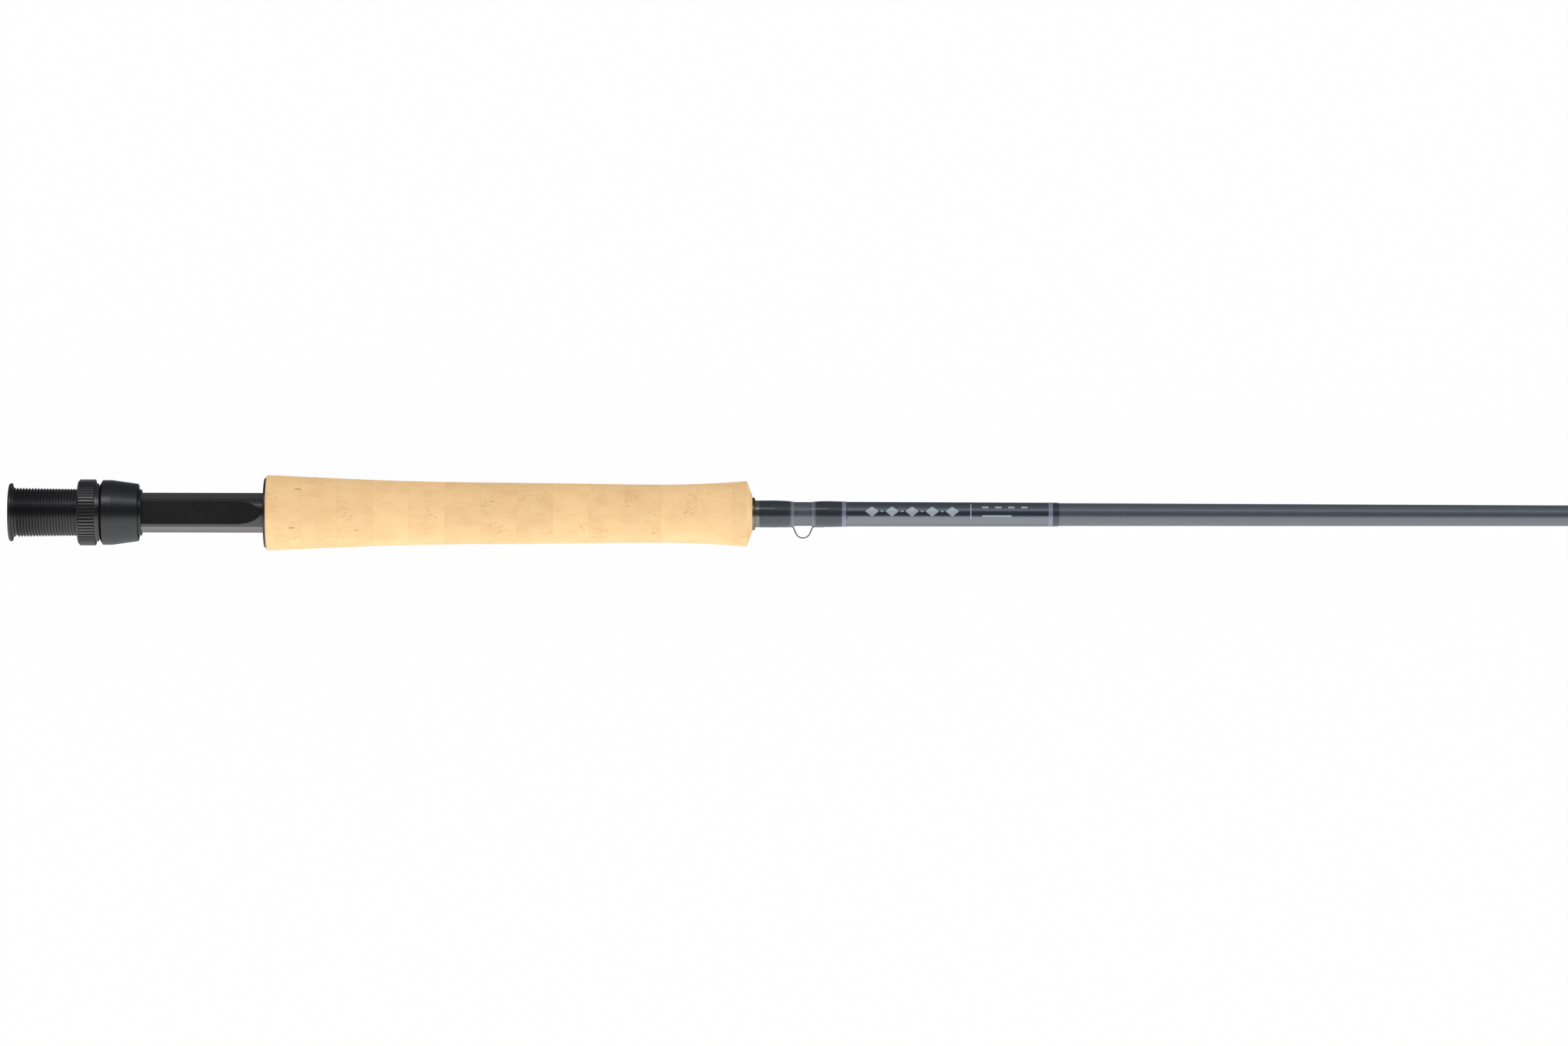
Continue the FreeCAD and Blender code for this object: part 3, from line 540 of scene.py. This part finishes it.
def make_label_marks():
    outline = cad_outline("label_coat")
    xs, rs = np.array(outline).T

    def radius(x):
        return float(np.interp(x, xs, rs)) + 0.004 * MM

    def degrees(*corners):
        return [(x * MM, math.radians(a)) for x, a in corners]

    patches = []
    for index in range(5):
        x = LOZENGE_START + index * MARK_PITCH
        patches.append(degrees((x - LOZENGE_HALF_LENGTH, 14.0), (x, -11.0),
                               (x + LOZENGE_HALF_LENGTH, 14.0), (x, 39.0)))
    for index in range(4):
        x = SMALL_DASH_START + index * MARK_PITCH
        near, far = x - SMALL_DASH_HALF_LENGTH, x + SMALL_DASH_HALF_LENGTH
        patches.append(degrees((near, 11.0), (far, 11.0), (far, 17.0), (near, 17.0)))
    patches.append(degrees((340.2, -22.0), (340.55, -22.0), (340.55, 56.0), (340.2, 56.0)))
    for index in range(4):
        x = DASH_START + index * DASH_PITCH
        patches.append(degrees((x, 31.0), (x + DASH_LENGTH, 31.0), (x + DASH_LENGTH, 41.0), (x, 41.0)))
    patches.append(degrees((344.4, -12.0), (354.8, -12.0), (354.8, -4.0), (344.4, -4.0)))
    verts, faces = [], []
    for corners in patches:
        more, quads = label_patch(corners, radius)
        faces += [tuple(v + len(verts) for v in quad) for quad in quads]
        verts += more
    mesh = bpy.data.meshes.new("label_marks")
    mesh.from_pydata(verts, [], faces)
    new_object("label_marks", mesh, "butt_section", MARK)


make_label_marks()


# ---- snake guides and the wraps that hold the guides ----
SNAKES = {
    "section_2": (4.3, 0.45, (1308.0,)),
    "section_3": (4.0, 0.42, (1549.0, 1768.0, 1968.0)),
    "tip_section": (3.6, 0.38, (2152.0, 2324.0, 2476.0, 2616.0)),
}
STRIPPING_X = (762.0, 1054.0)
FOOT = 9.0


def tube_mesh(name, points, radius, turns=12):
    """Round wire along a smooth line that the points shape."""
    curve = bpy.data.curves.new(name, "CURVE")
    curve.dimensions = "3D"
    spline = curve.splines.new("NURBS")
    spline.points.add(len(points) - 1)
    for point, co in zip(spline.points, points):
        point.co = (*co, 1.0)
    spline.order_u = 3
    spline.use_endpoint_u = True
    curve.resolution_u = 10
    curve.bevel_depth = radius
    curve.bevel_resolution = turns // 4
    curve.use_fill_caps = True
    holder = bpy.data.objects.new(name, curve)
    mesh = bpy.data.meshes.new_from_object(holder)
    bpy.data.objects.remove(holder)
    bpy.data.curves.remove(curve)
    return mesh


def joined(name, meshes):
    work = bmesh.new()
    for mesh in meshes:
        work.from_mesh(mesh)
        bpy.data.meshes.remove(mesh)
    result = bpy.data.meshes.new(name)
    work.to_mesh(result)
    work.free()
    return result


@functools.lru_cache(maxsize=None)
def blank_columns(section):
    return np.array(cad_outline(section + "_blank")).T


def blank_radius(section, x):
    return float(np.interp(x, *blank_columns(section)))


def foot_mesh(section, x_root, x_tip, width, thickness):
    """Ground-down guide foot: crowned bar that thins towards its tip."""
    rows = []
    for step in range(13):
        share = step / 12
        x = x_root + (x_tip - x_root) * share
        high = thickness * (1 - share) ** 0.8 + 0.12 * MM
        base = blank_radius(section, x) - 0.05 * MM
        half = width / 2 * (1.0 - 0.35 * share)
        row = []
        for index in range(16):
            turn = 2 * math.pi * index / 16
            across = math.cos(turn)
            up = 0.5 + 0.5 * math.sin(turn)
            row.append((x, -(base + high * up), half * math.copysign(abs(across) ** 0.6, across)))
        rows.append(row)
    verts, faces = ring_grid(rows)
    faces += [tuple(range(16)), tuple(range(len(verts) - 16, len(verts)))]
    mesh = bpy.data.meshes.new("foot")
    mesh.from_pydata(verts, [], faces)
    return mesh


def wrap_mesh(section, x_near, x_far, width, thickness):
    """Epoxied thread wrap: rounded ends, and a hump where it climbs over the guide's foot."""
    way = 1.0 if x_far > x_near else -1.0
    rows, count, length = [], 48, abs(x_far - x_near)
    steps = int(length / (0.25 * MM))
    for step in range(steps + 1):
        share = step / steps
        x = x_near + way * length * share
        base = blank_radius(section, x) + 0.01 * MM
        from_end = min(share, 1 - share) * length
        skin = WRAP_SKIN * min(1.0, from_end / (1.1 * MM)) ** 0.5 + 0.01 * MM
        fall = max(0.0, 1.0 - share * length / (length - 2.0 * MM))
        hump = thickness * fall ** 0.9 * min(1.0, (share * length + 0.4 * MM) / (1.0 * MM))
        row = []
        for index in range(count):
            turn = 2 * math.pi * index / count
            side = base * math.sin(turn)
            over = math.exp(-((side / (width * 0.62)) ** 2)) if math.cos(turn) > 0 else 0.0
            r = base + skin + hump * over
            row.append((x, -r * math.cos(turn), r * math.sin(turn)))
        rows.append(row)
    inner = []
    for x in (rows[-1][0][0], rows[0][0][0]):
        r = blank_radius(section, x) + 0.005 * MM
        turns = [2 * math.pi * i / count for i in range(count)]
        inner.append([(x, -r * math.cos(turn), r * math.sin(turn)) for turn in turns])
    verts, faces = ring_grid(rows + inner + rows[:1])
    last = (len(rows) + 2) * count
    faces = [tuple(v % last for v in face) for face in faces]
    mesh = bpy.data.meshes.new("wrap")
    mesh.from_pydata(verts[:last], [], faces)
    return mesh


def make_section_guides(section):
    height, wire_mm, places = SNAKES[section]
    height, wire = height * MM, wire_mm * MM
    guides, wraps = [], []
    for place in places:
        x = place * MM
        base = blank_radius(section, x)
        low, side = base + wire + 0.05 * MM, height * 0.72
        shape = [(-9.5, low, 0), (-6.0, low, 0), (-3.4, low + height * 0.25, side * 0.9),
                 (-2.2, low + height * 0.62, side), (-0.9, low + height * 1.05, side * 0.72),
                 (0.9, low + height * 1.05, -side * 0.72), (2.2, low + height * 0.62, -side),
                 (3.4, low + height * 0.25, -side * 0.9), (6.0, low, 0), (9.5, low, 0)]
        guides.append(tube_mesh("wire", [(x + dx * MM, -y, z) for dx, y, z in shape], wire))
        for way in (1, -1):
            near, far = x + way * 8.3 * MM, x + way * (8.5 + FOOT * 0.6) * MM
            guides.append(foot_mesh(section, near, far, 1.2 * MM, wire * 2))
            wraps.append(wrap_mesh(section, x + way * 7.6 * MM, far + way * 3.0 * MM, 1.2 * MM, wire * 2))
    if section == "section_2":
        for place in STRIPPING_X:
            for way in (1, -1):
                root = (place + way * 7.0) * MM
                wraps.append(wrap_mesh(section, root + way * 0.4 * MM, root + way * (FOOT + 3.0) * MM,
                                       1.7 * MM, 0.95 * MM))
    snake = new_object(section + "_wire_guides", joined("guides", guides), section, STEEL,
                       50.0)
    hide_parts(section + "_snake_guides")
    wound = new_object(section + "_thread_wraps", joined("wraps", wraps), section, WRAP,
                       50.0)
    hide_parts(section + "_guide_wraps")


for section_name in SNAKES:
    make_section_guides(section_name)


# ---- stage, light and camera ----
def make_floor():
    mesh = bpy.data.meshes.new("floor")
    reach = 15.0
    mesh.from_pydata([(-reach, -reach, 0), (reach, -reach, 0), (reach, reach, 0), (-reach, reach, 0)], [],
                     [(0, 1, 2, 3)])
    floor = bpy.data.objects.new("floor", mesh)
    bpy.context.scene.collection.objects.link(floor)
    floor.location = (1.3, 0.0, cad_low.z - 0.0002)
    material, _, shader, _ = new_material("floor_white", Roughness=0.9)
    shader.inputs["Base Color"].default_value = (0.01, 0.01, 0.01, 1.0)
    shader.inputs["Specular IOR Level"].default_value = 0.0
    shader.inputs["Emission Color"].default_value = (1.0, 1.0, 1.0, 1.0)
    shader.inputs["Emission Strength"].default_value = 0.98
    mesh.materials.append(material)
    floor.visible_glossy = floor.visible_diffuse = floor.visible_shadow = False
    floor.visible_transmission = False


# radiance of the studio by angle about the rod axis, degrees from straight up towards +Y
STUDIO = [(-180, 0.10), (-168, 0.22), (-158, 0.55), (-135, 1.0), (-112, 1.55), (-95, 2.05), (-80, 2.25),
          (-33, 2.40), (-23, 1.6), (-14, 0.45), (-7, 0.06), (18, 0.04), (30, 0.35), (40, 0.9), (46, 1.25),
          (52, 1.1), (58, 0.62), (80, 0.38), (105, 0.22), (140, 0.18), (160, 0.30), (172, 0.15), (180, 0.10)]
STUDIO_PEAK = 3.0
STRIP = [(45.8, 0.0), (47.2, 4.2), (50.5, 4.2), (52, 0.0)]
STRIP_PEAK = 6.0


def glow_by_angle(tree, share, stops, peak):
    return ramp(tree, share, [((degrees + 180) / 360, value / peak) for degrees, value in stops])


def make_studio():
    """Soft light all along the rod: a broad bright side towards -Y and a thin strip towards +Y."""
    world = bpy.data.worlds.new("studio")
    bpy.context.scene.world = world
    world.use_nodes = True
    tree = world.node_tree
    tree.nodes.clear()
    direction = tree.nodes.new("ShaderNodeTexCoord").outputs["Generated"]
    axes = put(tree, "ShaderNodeSeparateXYZ", None, Vector=direction)
    angle = maths(tree, "ARCTAN2", axes.outputs["Y"], axes.outputs["Z"])
    share = put(tree, "ShaderNodeMapRange", None, Value=angle, From_Min=-math.pi, From_Max=math.pi).outputs[0]
    along = put(tree, "ShaderNodeMapRange", None, Value=axes.outputs["X"],
                From_Min=-0.1, From_Max=0.1).outputs[0]
    cool = ramp(tree, along, [(0.25, (1.045, 0.980, 0.975)), (0.46, (0.945, 1.0, 1.055))])
    side = ramp(tree, share, [(0.5, (1.0, 1.0, 1.0)), (0.56, (0.97, 0.98, 1.04))])
    glow = tinted(tree, tinted(tree, glow_by_angle(tree, share, STUDIO, STUDIO_PEAK), cool), side)
    fading = ramp(tree, along, [(0.51, 1.0), (0.53, 0.20), (0.60, 0.05)])
    strip = tinted(tree, glow_by_angle(tree, share, STRIP, STRIP_PEAK), fading)
    broad = put(tree, "ShaderNodeBackground", None, Color=glow, Strength=STUDIO_PEAK)
    thin = put(tree, "ShaderNodeBackground", None, Color=strip, Strength=STRIP_PEAK)
    lit = put(tree, "ShaderNodeAddShader", None, i0=broad.outputs[0], i1=thin.outputs[0])
    seen = put(tree, "ShaderNodeBackground", None, Color=(1.0, 1.0, 1.0, 1.0), Strength=1.0)
    eye = tree.nodes.new("ShaderNodeLightPath").outputs["Is Camera Ray"]
    both = put(tree, "ShaderNodeMixShader", None, i0=eye, i1=lit.outputs[0], i2=seen.outputs[0])
    put(tree, "ShaderNodeOutputWorld", None, Surface=both.outputs[0])


def add_sun(name, energy, spread, degrees_up, colour, ahead=0.0):
    """Sun lamp; degrees_up is its direction about the rod axis, from straight up towards +Y.

    ahead is the X part of that direction.
    """
    lamp = bpy.data.lights.new(name, "SUN")
    lamp.energy = energy
    lamp.angle = math.radians(spread)
    lamp.color = colour
    sun = bpy.data.objects.new(name, lamp)
    bpy.context.scene.collection.objects.link(sun)
    turn = math.radians(degrees_up)
    sun.rotation_euler = Vector((ahead, math.sin(turn), math.cos(turn))).to_track_quat("Z", "Y").to_euler()
    return sun


def make_fills():
    """Three soft lights for matt surfaces that leave no reflection, and a sheen on the black metal alone."""
    add_sun("fill_far_side", 2.4, 50, 78.0, (1.0, 0.985, 0.96)).visible_glossy = False
    add_sun("fill_near_side", 0.80, 50, -22.0, (1.0, 0.99, 0.97)).visible_glossy = False
    add_sun("fill_ahead", 2.0, 50, 10.0, (1.0, 1.0, 1.0), 5.0).visible_glossy = False
    sheen = add_sun("metal_sheen", 0.43, 23, 46.0, (0.97, 0.97, 1.0))
    sheen.visible_diffuse = False
    receivers = bpy.data.collections.new("sheen_receivers")
    for node in ("butt_cap", "lock_ring", "sliding_hood", "grip_rear_plate"):
        receivers.objects.link(frame["nodes"][node])
    sheen.light_linking.receiver_collection = receivers


def make_camera():
    data = bpy.data.cameras.new("camera")
    data.sensor_width = 36.0
    data.lens = 201.0
    camera = bpy.data.objects.new("camera", data)
    bpy.context.scene.collection.objects.link(camera)
    camera.location = (0.2743, -0.0032, 3.10)
    camera.rotation_euler = (0.0, 0.0, math.radians(0.13))
    bpy.context.scene.camera = camera


make_floor()
make_studio()
make_fills()
make_camera()
bpy.context.scene.view_settings.view_transform = "Standard"
